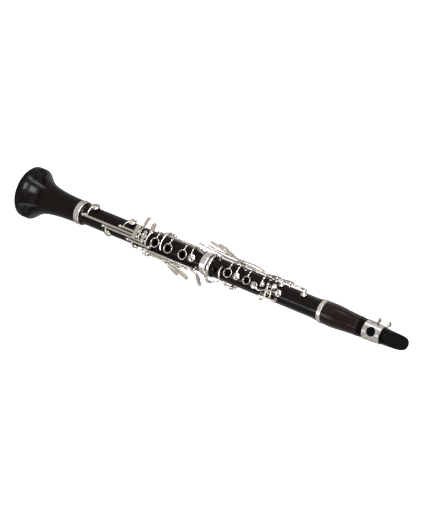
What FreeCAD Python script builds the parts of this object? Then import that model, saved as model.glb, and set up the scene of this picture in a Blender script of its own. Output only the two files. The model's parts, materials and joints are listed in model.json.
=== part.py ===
import FreeCAD, Part
import math
import os
import Sketcher

# B-flat clarinet, millimetres. Origin at the centre of the bell's rim plane, +Z along the bore to the
# mouthpiece. The tone holes face -Y, which is angle 0; angles grow towards +X, the player's left.

V = FreeCAD.Vector
UP = V(0, 0, 1)
doc = FreeCAD.newDocument("clarinet")

SIZES = [
    ("bell_rim_radius", 39.4), ("bell_length", 107), ("bell_throat_radius", 17.7),
    ("bore_radius", 7.4), ("lower_radius", 15.2), ("upper_radius", 14.8),
    ("tenon_radius", 11.4), ("tenon_length", 20), ("socket_radius", 11.62), ("cork_groove_radius", 10.6),
    ("cork_radius", 11.58), ("cork_length", 11), ("play", 0.02),
    ("joint_line", 342), ("upper_end", 535), ("barrel_end", 600), ("tip_end", 672.5),
    ("socket_ring_radius", 17), ("tenon_ring_radius", 16.5), ("bell_ring_radius", 18.4),
    ("barrel_ring_radius", 16.9), ("barrel_radius", 16.95), ("barrel_neck_radius", 14.2),
    ("hinge_height", 4.2), ("rod_radius", 1), ("tube_radius", 1.75), ("running_gap", 0.03),
    ("ball_radius", 2.2), ("stem_radius", 1.5), ("flange_radius", 2.6), ("stem_depth", 3.2),
    ("chimney_wall", 1), ("seat_height", 0.9), ("ring_chimney_height", 3), ("pad_thickness", 2),
    ("arm_radius", 1.15), ("paddle_thickness", 1.8), ("spring_radius", 0.22),
    ("screw_radius", 1.2), ("thumb_tube_radius", 5.2), ("register_tube_radius", 3),
]

sheet = doc.addObject("Spreadsheet::Sheet", "Sizes")
for row, (alias, value) in enumerate(SIZES, start=1):
    sheet.set(f"A{row}", alias.replace("_", " "))
    sheet.set(f"B{row}", str(value))
    sheet.setAlias(f"B{row}", alias)
doc.recompute()


def size(alias):
    return float(sheet.get(alias))


BORE, LOWER, UPPER = size("bore_radius"), size("lower_radius"), size("upper_radius")
ROD, TUBE, BALL = size("rod_radius"), size("tube_radius"), size("ball_radius")
STEM, ARM = size("stem_radius"), size("arm_radius")
JOINT_LINE, UPPER_END, BARREL_END, TIP = (size(n) for n in ("joint_line", "upper_end", "barrel_end", "tip_end"))
PLAY = size("play")
nodes = []


# ---- frames and small shapes ----

def at(z, angle, radius):
    """The point at a height, an angle round the bore and a distance from its axis."""
    turn = math.radians(angle)
    return V(radius * math.sin(turn), -radius * math.cos(turn), z)


def outward(angle):
    return at(0, angle, 1)


def stand(shape, z, angle, radius=0.0, seam=0.0):
    """Stands a shape made along +Z radially out of the body, its seam turned away from the arms."""
    placed = shape.copy()
    turn = FreeCAD.Rotation(UP, outward(angle)) * FreeCAD.Rotation(UP, seam)
    placed.Placement = FreeCAD.Placement(at(z, angle, radius), turn)
    return placed


def join(shapes):
    """Fuses shapes into one. A near-tangent pair can lose material, so it is fused again with some slack."""
    shapes = list(shapes)
    whole = shapes[0]
    for shape in shapes[1:]:
        for slack in (0, 1e-4, 1e-3):
            fused = whole.fuse((shape,), slack)
            if fused.Volume > max(whole.Volume, shape.Volume) * 0.9999:
                break
        whole = fused
    tidy = whole.removeSplitter()
    return tidy if tidy.isValid() else whole


def spin(points):
    """A solid of revolution round Z from (radius, height) corners."""
    corners = [V(radius, 0, height) for radius, height in points]
    wire = Part.makePolygon(corners + corners[:1])
    return Part.Face(wire).revolve(V(0, 0, 0), UP, 360)


def spin_curved(edges):
    face = Part.Face(Part.Wire(Part.__sortEdges__(edges)))
    return face.revolve(V(0, 0, 0), UP, 360)


def curve(points):
    line = Part.BSplineCurve()
    line.interpolate([V(radius, 0, height) for radius, height in points])
    return line.toShape()


def straight(start, end):
    return Part.makeLine(V(start[0], 0, start[1]), V(end[0], 0, end[1]))


def feature(label, shape):
    node = doc.addObject("Part::Feature", label)
    node.Shape = shape
    node.Label = label
    nodes.append(node)
    return node


def turned(label, corners):
    """A lathe-turned piece as a PartDesign body: (radius, height) corners given as expressions."""
    body = doc.addObject("PartDesign::Body", label)
    body.Label = label
    sketch = body.newObject("Sketcher::SketchObject", label + "_profile")
    plane = next(f for f in body.Origin.OriginFeatures if f.Role == "XZ_Plane")
    sketch.AttachmentSupport = [(plane, "")]
    sketch.MapMode = "FlatFace"
    spots = [tuple(float(sheet.evalExpression(e)) for e in corner) for corner in corners]
    for index, (radius, height) in enumerate(spots):
        after = spots[(index + 1) % len(spots)]
        sketch.addGeometry(Part.LineSegment(V(radius, height, 0), V(after[0], after[1], 0)), False)
    count = len(spots)
    for index in range(count):
        sketch.addConstraint(Sketcher.Constraint("Coincident", index, 2, (index + 1) % count, 1))
    for index, (radius, height) in enumerate(spots):
        for kind, value, text in (("DistanceX", radius, corners[index][0]), ("DistanceY", height, corners[index][1])):
            number = sketch.addConstraint(Sketcher.Constraint(kind, -1, 1, index, 1, value))
            sketch.setExpression(f"Constraints[{number}]", text)
    turn = body.newObject("PartDesign::Revolution", label + "_turning")
    turn.Profile = sketch
    turn.ReferenceAxis = (sketch, ["V_Axis"])
    turn.Angle = 360
    nodes.append(body)
    return body


def bored(label, body, chimneys, drills):
    """Adds the tone-hole chimneys to a turned joint, then drills every hole in it."""
    nodes.remove(body)
    body.Label = label + "_turned"
    base = doc.addObject("Part::MultiFuse", label + "_with_chimneys")
    raised = doc.addObject("Part::Feature", label + "_chimneys")
    raised.Shape = Part.makeCompound(chimneys)
    base.Shapes = [body, raised]
    holes = doc.addObject("Part::Feature", label + "_drills")
    holes.Shape = join(drills)
    result = doc.addObject("Part::Cut", label)
    result.Base = base
    result.Tool = holes
    result.Label = label
    nodes.append(result)
    return result


# ---- the keys: where each one pivots and what it carries ----
# Every key is drawn pressed shut on its hole, then turned back by its travel if it stands open.

class Key:
    def __init__(self, label, hinge, tube, press, travel, stands_open=False, crosswise=False):
        self.label, self.hinge, self.tube = label, hinge, tube
        self.press, self.travel, self.stands_open = press, travel, stands_open
        self.crosswise = crosswise
        self.body_radius = LOWER if tube[0] < JOINT_LINE and not crosswise else UPPER
        self.arms, self.cups, self.rings, self.paddles, self.discs = [], [], [], [], []

    @property
    def axis_height(self):
        return self.body_radius + size("hinge_height")

    def on_hinge(self, z, lift=0.0):
        return at(z, self.hinge, self.axis_height + lift)


def make_keys():
    keys = {}

    def add(label, *args, **kwargs):
        keys[label] = Key(label, *args, **kwargs)
        return keys[label]

    # Lower joint: right-hand little-finger keys and the holes they serve.
    key = add("low_e_key", 0, (118.1, 215.6), -1, 9, stands_open=True)
    key.cups = [(127, -62, 7.1)]
    key.arms = [[key.on_hinge(123.5), at(124.3, -16, 20.9), at(126, -42, 20.8), at(127, -59, 19.4)]]
    key.arms += [[key.on_hinge(212.8), V(-0.6, -22, 213.2), V(-2.6, -23.7, 215.4)]]
    key.paddles = [(V(-0.4, -24.2, 215.9), V(-14.6, -21.4, 218.1), 6.4, 7.4, outward(-14))]

    key = add("low_f_key", 13, (158.3, 226.6), -1, 8)
    key.cups = [(162, 50, 6.6)]
    key.arms = [[key.on_hinge(162), at(162, 24, 20.6), at(162, 38, 20.4), at(162, 49, 19.4)]]
    key.arms += [[key.on_hinge(224.3), V(1.5, -22.8, 224.2), V(-4, -24.7, 224.3), V(-11, -25, 225.4),
                  V(-17.4, -24, 228.4)]]
    key.paddles = [(V(-18, -23.8, 228.6), V(-29.2, -16.6, 226.5), 6, 7.6, outward(-48))]

    key = add("low_f_sharp_key", -14, (186.7, 229.7), -1, 9, stands_open=True)
    key.cups = [(197, -60, 6.5)]
    key.arms = [[key.on_hinge(189.5), at(191, -26, 20.8), at(194.5, -43, 20.7), at(197, -58, 19.4)]]
    key.arms += [[key.on_hinge(227.4), at(227.8, -17, 21.9), V(-7, -23, 230)]]
    key.paddles = [(V(0.8, -24, 230.8), V(-11, -21.6, 232.2), 5.8, 6.2, outward(-14))]

    key = add("low_g_sharp_key", 27, (205.3, 239.0), -1, 8)
    key.cups = [(212, 68, 5.6)]
    key.arms = [[key.on_hinge(212), at(212, 38, 20.6), at(212, 54, 20.4), at(212, 67, 19.4)]]
    key.arms += [[key.on_hinge(237.2), at(237.4, 18, 21.8), at(238, 5, 23.8), V(-4, -24.4, 239), V(-10, -23.4, 240.2),
                  V(-14, -21.4, 240.8)]]
    key.paddles = [(V(-14, -21.2, 240.6), V(-24.2, -12.7, 236.2), 5.8, 7.2, outward(-50))]

    # Right-hand rings, with the small closed cup above them and their end of the bridge.
    key = add("right_ring_key", -62, (248.8, 319.4), 1, 5.5, stands_open=True)
    key.rings = [(250.5, -3, 6.0, 7.5), (274.8, 0, 6.0, 7.5), (301.3, 1, 6.0, 7.5)]
    key.cups = [(317.4, -1, 6.1)]
    key.arms = [[key.on_hinge(z), at(z, -50, 20.2), at(z, -36, 19.5), at(z, angle - 22.2, 18.5)]
                for z, angle, _, _ in key.rings]
    key.arms += [[key.on_hinge(314.4), at(315, -44, 21.4), at(316.6, -20, 20.6), at(317.4, -3, 19.4)]]
    key.arms += [[key.on_hinge(315.6), at(318.4, -53.5, 20.8), at(322.6, -48, 20.2), at(331, -42, 18.9)]]

    key = add("cross_b_key", -84, (257.3, 266.7), 1, 7)
    key.cups = [(262, -122, 4.6)]
    key.arms = [[key.on_hinge(262), at(262, -94, 20.8), at(262, -108, 20.4), at(262, -121, 19.4)]]
    key.arms += [[key.on_hinge(263.4), at(263.2, -76, 22.2), at(262.6, -62, 23.3), at(261.6, -48, 22.3),
                  at(260.9, -38, 20.6), at(260.4, -24, 19.2), at(260.5, -10, 18.8), at(261.6, 6, 18.9),
                  at(263.4, 16, 19.2)]]

    # Left-hand little-finger levers.
    for label, hinge, tube, foot, touch in (
            ("low_e_lever", 76, (238.3, 290.7), 232.5,
             (266, V(21.4, -6.2, 274), V(28.8, -4.6, 293.2), 4.6, 8.2)),
            ("low_f_sharp_lever", 60, (238.3, 306.7), 231.5,
             (285, V(19, -12, 290), V(28.8, -6.6, 312), 4, 8.2)),
            ("low_f_lever", 44, (235.8, 322.7), 229.8,
             (317.6, V(17.8, -16.2, 333.4), V(29.8, -9.4, 339), 6, 7.6))):
        root, near, far, near_width, far_width = touch
        key = add(label, hinge, tube, 1, 9 if label != "low_f_lever" else 8)
        key.arms = [[key.on_hinge(root), at(root + 4, hinge, key.axis_height + 2.8), near]]
        key.arms += [[key.on_hinge(tube[0] + 2.2), at(tube[0] - 0.4, hinge - 1, key.axis_height + 3.4),
                      at(foot, hinge - 2, key.axis_height + 3.6)]]
        key.paddles = [(near, far, near_width, far_width, outward(20))]

    # Upper joint: the rings and the keys beside them.
    key = add("second_ring_key", -64, (358.7, 399.2), 1, 5.5, stands_open=True)
    key.rings = [(382.2, 0, 5.6, 7.0)]
    key.cups = [(397.2, 0, 5.6)]
    key.arms = [[key.on_hinge(382.2), at(382.2, -50, 19.6), at(382.2, -38, 19.0), at(382.2, -23, 18.0)]]
    key.arms += [[key.on_hinge(396.6), at(396.8, -44, 21.0), at(397, -20, 20.2), at(397.2, -3, 19.0)]]
    key.arms += [[key.on_hinge(361), at(356.6, -55, 21.8), at(348, -51, 22.9), at(333, -44, 22.9)]]

    key = add("first_ring_key", -64, (403.8, 442.5), 1, 5.5, stands_open=True)
    key.rings = [(415.2, -1, 4.9, 6.25)]
    key.cups = [(440.8, -12, 4.2)]
    key.arms = [[key.on_hinge(415.2), at(415.2, -50, 19.6), at(415.2, -34, 18.9), at(415.2, -19.8, 17.9)]]
    key.arms += [[key.on_hinge(440), at(440.2, -48, 20.8), at(440.6, -30, 20.4), at(440.8, -15, 19.1)]]

    key = add("a_key", 0, (-5.2, 5.2), 1, 7, crosswise=True)
    key.cups = [(469, -4, 5.4)]
    key.arms = [[V(0.4, -19.9, 451), V(2.6, -20.6, 446.5), V(4.7, -20.8, 441.5), V(3.9, -20.9, 436.5), V(2, -20.9, 432)],
                [V(0, -19.9, 451), V(-0.2, -21, 456.5), V(-0.8, -20.8, 463), V(-1.3, -19.3, 468)]]
    key.discs = [(V(1, -20.9, 430.6), 5.3, outward(2))]

    key = add("g_sharp_key", 38, (443.6, 463.3), 1, 6)
    key.cups = [(458.8, -27, 4.8)]
    key.arms = [[key.on_hinge(457.2), at(457.3, 30, 17.2), at(457.4, 18, 16.7), at(457.6, 4, 16.8), at(458, -12, 18.6),
                 at(458.8, -24, 19.1)]]
    key.arms += [[key.on_hinge(447), at(446.6, 45, 20.2), at(445.6, 50, 20.6)]]
    key.paddles = [(at(446, 50, 20.6), at(441.6, 56, 20.8), 3.6, 4.4, outward(54))]

    key = add("cross_e_flat_key", 66, (378.3, 391.7), -1, 7)
    key.cups = [(386, 104, 4.8)]
    key.arms = [[key.on_hinge(386), at(386, 76, 20.6), at(386, 90, 20.2), at(386, 103, 19.0)]]
    key.arms += [[key.on_hinge(382), at(378.4, 56.5, 21.4), at(373, 46, 20.4), at(369.6, 32, 19.0), at(368.4, 14, 18.6),
                  at(368.6, -4, 18.6), at(370, -18, 18.8)]]

    key = add("c_sharp_key", 138, (358.4, 371.4), -1, 7)
    key.cups = [(364, 174, 5.0)]
    key.arms = [[key.on_hinge(364), at(364, 148, 20.6), at(364, 161, 20.2), at(364, 173, 19.0)]]
    key.arms += [[key.on_hinge(361.5), at(358.5, 130, 21.4), at(353, 119, 21.8), at(349.6, 104, 22.6),
                  at(348.4, 86, 23.2), at(348, 70, 23.2)]]
    key.paddles = [(at(348, 73, 23.4), at(346.6, 31, 22.8), 5.4, 6.2, outward(52))]

    # Side keys for the first finger of the right hand.
    for label, hinge, press, tube, cup, root, run, touch in (
            ("side_key_1", -118, 1, (386.3, 402.0), (393, -148, 4.8), 392,
             (at(386.4, -110, 20.2), at(377, -107, 19.3), at(352, -101, 19.5)), (V(-21.8, 1.2, 322), V(-22.8, 0.4, 312.5))),
            ("side_key_2", -118, 1, (424.6, 441.4), (433, -150, 4.6), 429,
             (at(423, -107.5, 21.2), at(414, -105, 22.9), at(390, -109, 23.9), at(356, -112.5, 23.6)),
             (V(-22.8, 9.0, 334), V(-24, 8.8, 324))),
            ("side_key_3", -78, -1, (455.3, 473.2), (466, -52, 4.2), 461,
             (at(455, -88, 20.8), at(444, -91, 20), at(392, -91, 20.2), at(366, -91, 23.6)),
             (V(-28.8, 0.2, 341), V(-30.6, 0.6, 330.5))),
            ("side_key_4", -78, -1, (477.8, 498.9), (505, -50, 5.0), 482,
             (at(477, -89, 21), at(464, -98.5, 20.4), at(392, -99, 20.4), at(372, -99.5, 23.2)),
             (V(-29.6, 6.8, 351), V(-31, 6.8, 341)))):
        key = add(label, hinge, tube, press, 7)
        key.cups = [cup]
        step = 1 if cup[1] > hinge else -1
        root_z = min(tube[1] - 3, cup[0])
        key.arms = [[key.on_hinge(root_z), at(root_z + (cup[0] - root_z) * 0.3, hinge + 9 * step, 20.9),
                     at(cup[0] - 0.5, cup[1] - 9 * step, 20.3), at(cup[0], cup[1] - 1.5 * step, 19.1)]]
        facing = outward(-95) if hinge == -118 else outward(-66)
        key.arms += [[key.on_hinge(root), *run, touch[0]]]
        key.paddles = [(touch[0], touch[1], 3.4, 6.6, facing)]

    # Thumb side of the upper joint.
    key = add("thumb_ring_key", -142, (405.3, 422.7), -1, 5.5, stands_open=True)
    key.rings = [(414, 180, 6.2, 7.8)]
    key.arms = [[key.on_hinge(414), at(414, -150, 19.2), at(414, -158, 18.2)]]

    key = add("register_key", 180, (-5.2, 5.2), -1, 7, crosswise=True)
    key.cups = [(472, 180, 4.6)]
    key.arms = [[V(0, 19.9, 451), V(0, 21.4, 446), V(0, 21.4, 437)],
                [V(0, 19.9, 451), V(0, 21, 457), V(0, 20.6, 465), V(0, 19.2, 471)]]
    key.paddles = [(V(0, 21.4, 438), V(0, 21.2, 430), 4.4, 8.2, outward(180))]
    return keys


KEYS = make_keys()
CROSS_HINGE_Z = 451
PAD_GAP = 0.05
RING_THICKNESS = 1.6
PAD_RIM = 0.7
SEAMS = (0, 20, 47, 110, 205, 290)


def hinge_line(key):
    if key.crosswise:
        return V(0, at(0, key.hinge, key.axis_height + 0.4).y, CROSS_HINGE_Z), V(1, 0, 0)
    return at(0, key.hinge, key.axis_height), UP


def key_radius(key, z):
    return LOWER if z < JOINT_LINE else UPPER


def arm(points):
    """A round-ended bent arm through the given points."""
    line = Part.BSplineCurve()
    line.interpolate(points)
    spine = Part.Wire(line.toShape())
    heading = line.tangent(line.FirstParameter)[0]
    circle = Part.Wire(Part.makeCircle(ARM, points[0], heading))
    rod = spine.makePipeShell([circle], True, False)
    ends = [Part.makeSphere(ARM * 1.002, points[0]), Part.makeSphere(ARM * 1.002, points[-1])]
    return [rod] + ends


def paddle(start, end, start_width, end_width, normal):
    """A flat finger touch: a long plate with round ends, its edges eased."""
    thick = size("paddle_thickness")
    along = (end - start).normalize()
    across = normal.cross(along).normalize()
    up = along.cross(across).normalize()
    r0, r1 = start_width / 2, end_width / 2
    a0, a1 = start - across * r0, start + across * r0
    b0, b1 = end - across * r1, end + across * r1
    edges = [Part.makeLine(a0, b0), Part.Arc(b0, end + along * r1, b1).toShape(), Part.makeLine(b1, a1),
             Part.Arc(a1, start - along * r0, a0).toShape()]
    plate = Part.Face(Part.Wire(edges)).extrude(up * thick)
    plate.translate(up * (-thick / 2))
    return plate.makeFillet(0.5, plate.Edges)


def disc(centre, radius, normal):
    """A round finger touch, slightly crowned."""
    thick = size("paddle_thickness")
    crown = spin_curved([straight((0, -thick / 2), (radius - 0.5, -thick / 2)),
                         straight((radius - 0.5, -thick / 2), (radius, -thick / 4)),
                         straight((radius, -thick / 4), (radius, thick / 4)),
                         Part.Arc(V(radius, 0, thick / 4), V(radius * 0.6, 0, thick * 0.6), V(0, 0, thick * 0.72)).toShape(),
                         straight((0, thick * 0.72), (0, -thick / 2))])
    crown.Placement = FreeCAD.Placement(centre, FreeCAD.Rotation(UP, normal))
    return crown


def cup(z, angle, radius, seat, seam):
    """A domed pad cup, hollow below for its pad."""
    pad = size("pad_thickness")
    wall = [straight((0, pad + PLAY), (radius - PAD_RIM + PLAY, pad + PLAY)),
            straight((radius - PAD_RIM + PLAY, pad + PLAY), (radius - PAD_RIM + PLAY, 0.7)),
            straight((radius - PAD_RIM + PLAY, 0.7), (radius, 0.7)), straight((radius, 0.7), (radius, 1.5)),
            straight((radius, 1.5), (radius - 0.7, 2.1)),
            Part.Arc(V(radius - 0.7, 0, 2.1), V(radius * 0.6, 0, 3.05), V(0, 0, 3.6)).toShape(),
            straight((0, 3.6), (0, pad + PLAY))]
    return stand(spin_curved(wall), z, angle, seat, seam)


def finger_ring(z, angle, inner, outer, top, seam):
    """The open ring that stands round a finger hole's chimney."""
    low, ease = top - RING_THICKNESS, 0.35
    ring = spin([(inner, low + ease), (inner + ease, low), (outer - ease, low), (outer, low + ease),
                 (outer, top - ease), (outer - ease, top), (inner + ease, top), (inner, top - ease)])
    return stand(ring, z, angle, 0, seam)


def open_angle(key):
    return -key.press * key.travel if key.stands_open else 0


def rested(key, shape):
    centre, axis = hinge_line(key)
    shape.rotate(centre, axis, open_angle(key))
    return shape


def key_shape(key):
    """The whole key as one solid, its cup and ring seams turned until the fuse is sound."""
    for seam in SEAMS:
        shape = assembled_key(key, seam)
        if shape.isValid() and len(shape.Solids) == 1:
            return rested(key, shape)
    raise RuntimeError(key.label + " does not join up")


def assembled_key(key, seam):
    centre, axis = hinge_line(key)
    start = centre + axis * key.tube[0]
    length = key.tube[1] - key.tube[0]
    solids = [Part.makeCylinder(TUBE, length, start, axis)]
    for points in key.arms:
        solids += arm(points)
    hollows = [Part.makeCylinder(ROD + size("running_gap"), length + 2, start - axis, axis)]
    for z, angle, radius in key.cups:
        seat = key_radius(key, z) + size("seat_height") + PAD_GAP
        solids.append(cup(z, angle, radius, seat, seam))
        pad_room = Part.makeCylinder(radius - PAD_RIM + PLAY, 4 + size("pad_thickness") + PLAY)
        hollows.append(stand(pad_room, z, angle, seat - 4))
    for z, angle, inner, outer in key.rings:
        top = key_radius(key, z) + size("ring_chimney_height")
        solids.append(finger_ring(z, angle, inner, outer, top, seam))
        hollows.append(stand(Part.makeCylinder(inner, 12), z, angle, top - 8))
    solids += [paddle(*spec) for spec in key.paddles]
    solids += [disc(*spec) for spec in key.discs]
    whole = join(solids)
    for hollow in hollows:
        whole = whole.cut(hollow)
    return whole


def pad_shape(key):
    z, angle, radius = key.cups[0]
    seat = key_radius(key, z) + size("seat_height") + PAD_GAP
    thick = size("pad_thickness")
    edge = radius - PAD_RIM
    pad = spin([(0, 0), (edge - 0.4, 0), (edge, 0.4), (edge, thick), (0, thick)])
    return rested(key, stand(pad, z, angle, seat))


# ---- posts, rods and springs ----

def post(z, angle, reach, surface):
    """A threaded post: stem, flange and a ball at the hinge's height."""
    stem = Part.makeCylinder(STEM, reach - surface + size("stem_depth"), V(0, 0, surface - size("stem_depth")))
    flange = Part.makeCone(size("flange_radius"), STEM + 0.3, 0.8, V(0, 0, surface + PLAY))
    ball = Part.makeSphere(BALL, V(0, 0, reach))
    return stand(join([stem, flange, ball]), z, angle)


def hinge_posts():
    """Every post as (height, angle, reach, body radius, rod direction)."""
    spots = []
    gap = BALL + 0.1
    for key in KEYS.values():
        surface = key_radius(key, CROSS_HINGE_Z if key.crosswise else key.tube[0])
        if key.crosswise:
            centre, axis = hinge_line(key)
            for side in (-1, 1):
                x = side * (key.tube[1] + gap)
                angle = math.degrees(math.atan2(x, -centre.y))
                spots.append((CROSS_HINGE_Z, angle, math.hypot(x, centre.y), surface, key))
        else:
            for z in (key.tube[0] - gap, key.tube[1] + gap):
                close = [s for s in spots if abs(s[0] - z) < 2 * gap and abs(s[1] - key.hinge) < 1]
                if not close:
                    spots.append((z, key.hinge, key.axis_height, surface, key))
    return spots


POSTS = hinge_posts()


def rod_shapes():
    """One steel rod for every run of keys on the same line."""
    rods, lines = [], {}
    for key in KEYS.values():
        if key.crosswise:
            centre, axis = hinge_line(key)
            reach = key.tube[1] + 2 * BALL + 0.3
            rods.append(Part.makeCylinder(ROD, 2 * reach, centre - axis * reach, axis))
        else:
            line = (key.hinge, key.axis_height)
            lines.setdefault(line, []).append(key.tube)
    for (angle, reach), tubes in lines.items():
        low = min(t[0] for t in tubes) - 2 * BALL - 0.3
        high = max(t[1] for t in tubes) + 2 * BALL + 0.3
        rods.append(Part.makeCylinder(ROD, high - low, at(low, angle, reach), UP))
    return rods


RODS = rod_shapes()


SPRING_HEIGHT, SPRING_LENGTH, SPRING_TAIL = 1.35, 10, 1.9


def spring_wire(z, angle, surface, radius):
    """A needle spring's line through its post, lying close over the body."""
    start = at(z - SPRING_TAIL, angle, surface + SPRING_HEIGHT)
    return Part.makeCylinder(radius, SPRING_TAIL + SPRING_LENGTH, start, UP)


def build_posts():
    shapes, wires = [], []
    sprung = {key.label: key.tube[0] - BALL - 0.1 for key in KEYS.values() if not key.crosswise}
    for z, angle, reach, surface, key in POSTS:
        centre, axis = hinge_line(key)
        base = V(0, centre.y, CROSS_HINGE_Z) if key.crosswise else at(z, angle, reach)
        solid = post(z, angle, reach, surface).cut(Part.makeCylinder(ROD + PLAY, 60, base - axis * 30, axis))
        if sprung.get(key.label) == z:
            solid = solid.cut(spring_wire(z, angle, surface, size("spring_radius") + PLAY))
            wires.append(spring_wire(z, angle, surface, size("spring_radius")))
        shapes.append(solid)
    feature("needle_springs", Part.makeCompound(wires))
    feature("posts", Part.makeCompound(shapes))
    feature("hinge_rods", Part.makeCompound(RODS))


def build_keys():
    for key in KEYS.values():
        feature(key.label, key_shape(key))
        if key.cups:
            feature(key.label.replace("_key", "") + "_pad", pad_shape(key))


# ---- body pieces ----

def post_drills(surface):
    wall = size("stem_depth") + 0.1
    return [stand(Part.makeCylinder(STEM + PLAY, wall + 3, V(0, 0, surface - wall)), z, angle)
            for z, angle, _, own, _ in POSTS if own == surface]


FINGER_HOLE_RADIUS = {250.5: 3.9, 274.8: 4.1, 301.3: 4.0, 382.2: 3.6, 415.2: 3.0}


def tone_holes(surface):
    """Chimneys and drills for the finger rings and for every padded hole."""
    chimneys, drills = [], []
    inside = BORE + 2.2
    for key in KEYS.values():
        for z, angle, inner, _ in key.rings:
            if key_radius(key, z) == surface and angle != 180:
                top = surface + size("ring_chimney_height")
                chimneys.append(stand(Part.makeCylinder(inner - 1.1, top - inside, V(0, 0, inside)), z, angle))
                drills.append(stand(Part.makeCylinder(FINGER_HOLE_RADIUS[z], top, V(0, 0, 4)), z, angle))
        for z, angle, radius in key.cups:
            if key_radius(key, z) == surface and key.label != "register_key":
                top = surface + size("seat_height")
                hole = radius - PAD_RIM - size("chimney_wall") - 0.4
                outer = hole + size("chimney_wall")
                chimneys.append(stand(Part.makeCylinder(outer, top - inside, V(0, 0, inside)), z, angle))
                drills.append(stand(Part.makeCylinder(hole * 0.8, top, V(0, 0, 4)), z, angle))
                drills.append(stand(Part.makeCylinder(hole, 2.4, V(0, 0, top - 1.6)), z, angle))
    return chimneys, drills


def build_bell():
    rim, throat = size("bell_rim_radius"), size("bell_throat_radius")
    outer = curve([(rim - 0.5, 11.2), (35.2, 16), (31.9, 20), (28.8, 25), (26.2, 30), (23.9, 36), (21.8, 44),
                   (20.1, 55), (18.7, 70), (18.1, 84), (throat, 96.8)])
    inner = curve([(12.2, 85.9), (13.4, 76), (15.2, 62), (17.4, 48), (20.4, 36), (24.2, 26), (29.4, 15.5),
                   (34.4, 6), (36.8, 1.2)])
    seat = 16.2
    corners = [(36.8, 1.2), (37.6, 0), (rim - 0.9, 0), (rim, 1), (rim, 8.6), (rim - 0.35, 9), (rim, 9.4),
               (rim, 10.6), (rim - 0.5, 11.2)]
    top = [(throat, 96.8), (throat, 97.4), (seat, 97.4), (seat, 106.2), (11.62, 106.2), (11.62, 85.9), (12.2, 85.9)]
    edges = [outer, inner]
    edges += [straight(a, b) for a, b in zip(corners, corners[1:])]
    edges += [straight(a, b) for a, b in zip(top, top[1:])]
    feature("bell", spin_curved(edges))
    turned("bell_ring", [
        ("16.22", "97.45"), ("Sizes.bell_ring_radius - 0.5", "97.45"), ("Sizes.bell_ring_radius", "98"),
        ("Sizes.bell_ring_radius", "106.2"), ("Sizes.bell_ring_radius - 0.6", "Sizes.bell_length - 0.05"),
        ("Sizes.socket_radius + 0.1", "Sizes.bell_length - 0.05"), ("Sizes.socket_radius + 0.1", "106.25"),
        ("16.22", "106.25")])


def build_lower_joint():
    body = turned("lower_joint", [
        ("Sizes.bore_radius", "86.6"), ("Sizes.tenon_radius", "86.6"), ("Sizes.tenon_radius", "90.6"),
        ("Sizes.cork_groove_radius", "90.6"), ("Sizes.cork_groove_radius", "90.6 + Sizes.cork_length"),
        ("Sizes.tenon_radius", "90.6 + Sizes.cork_length"), ("Sizes.tenon_radius", "Sizes.bell_length"),
        ("Sizes.lower_radius + 1.7", "Sizes.bell_length"), ("Sizes.lower_radius + 1.7", "108.6"),
        ("Sizes.lower_radius + 0.4", "111"), ("Sizes.lower_radius", "113"), ("Sizes.lower_radius", "328"),
        ("Sizes.lower_radius + 0.4", "330"), ("Sizes.lower_radius + 0.8", "331.45"), ("15.4", "331.45"),
        ("15.4", "Sizes.joint_line - 1"), ("Sizes.socket_radius", "Sizes.joint_line - 1"),
        ("Sizes.socket_radius", "322.9"), ("Sizes.bore_radius", "322.9")])
    chimneys, drills = tone_holes(LOWER)
    drills += post_drills(LOWER) + rest_screw_drills()
    bored("lower_joint", body, chimneys, drills)
    turned("socket_ring", [
        ("15.42", "331.5"), ("Sizes.socket_ring_radius - 0.4", "331.5"), ("Sizes.socket_ring_radius", "332.3"),
        ("Sizes.socket_ring_radius", "340.9"), ("Sizes.socket_ring_radius - 0.7", "Sizes.joint_line - 0.1"),
        ("11.9", "Sizes.joint_line - 0.1"), ("11.9", "Sizes.joint_line - 0.95"), ("15.42", "Sizes.joint_line - 0.95")])


def build_upper_joint():
    body = turned("upper_joint", [
        ("Sizes.bore_radius", "323.2"), ("Sizes.tenon_radius", "323.2"), ("Sizes.tenon_radius", "326.2"),
        ("Sizes.cork_groove_radius", "326.2"), ("Sizes.cork_groove_radius", "326.2 + Sizes.cork_length"),
        ("Sizes.tenon_radius", "326.2 + Sizes.cork_length"), ("Sizes.tenon_radius", "Sizes.joint_line"),
        ("15.5", "Sizes.joint_line"), ("15.5", "348.3"), ("Sizes.tenon_ring_radius - 0.3", "348.3"),
        ("Sizes.upper_radius + 0.4", "351"), ("Sizes.upper_radius", "353.4"), ("Sizes.upper_radius", "522"),
        ("Sizes.upper_radius + 0.5", "528"), ("16.2", "534"), ("16.2", "Sizes.upper_end - 0.1"),
        ("Sizes.tenon_radius", "Sizes.upper_end - 0.1"), ("Sizes.tenon_radius", "538.4"),
        ("Sizes.cork_groove_radius", "538.4"), ("Sizes.cork_groove_radius", "538.4 + Sizes.cork_length"),
        ("Sizes.tenon_radius", "538.4 + Sizes.cork_length"), ("Sizes.tenon_radius", "552.6"),
        ("Sizes.bore_radius", "552.6")])
    chimneys, drills = tone_holes(UPPER)
    drills.append(stand(Part.makeCylinder(3.4, UPPER + 2, V(0, 0, 4)), 359, 10))
    drills.append(stand(Part.makeCylinder(size("register_tube_radius") + PLAY, UPPER, V(0, 0, 4)), 472, 180))
    drills.append(stand(Part.makeCylinder(size("thumb_tube_radius") + PLAY, UPPER, V(0, 0, 4)), 414, 180))
    drills += post_drills(UPPER)
    bored("upper_joint", body, chimneys, drills)
    turned("tenon_ring", [
        ("15.52", "344"), ("Sizes.tenon_ring_radius - 0.3", "344"), ("Sizes.tenon_ring_radius", "344.5"),
        ("Sizes.tenon_ring_radius", "347.7"), ("Sizes.tenon_ring_radius - 0.3", "348.25"), ("15.52", "348.25")])


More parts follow.
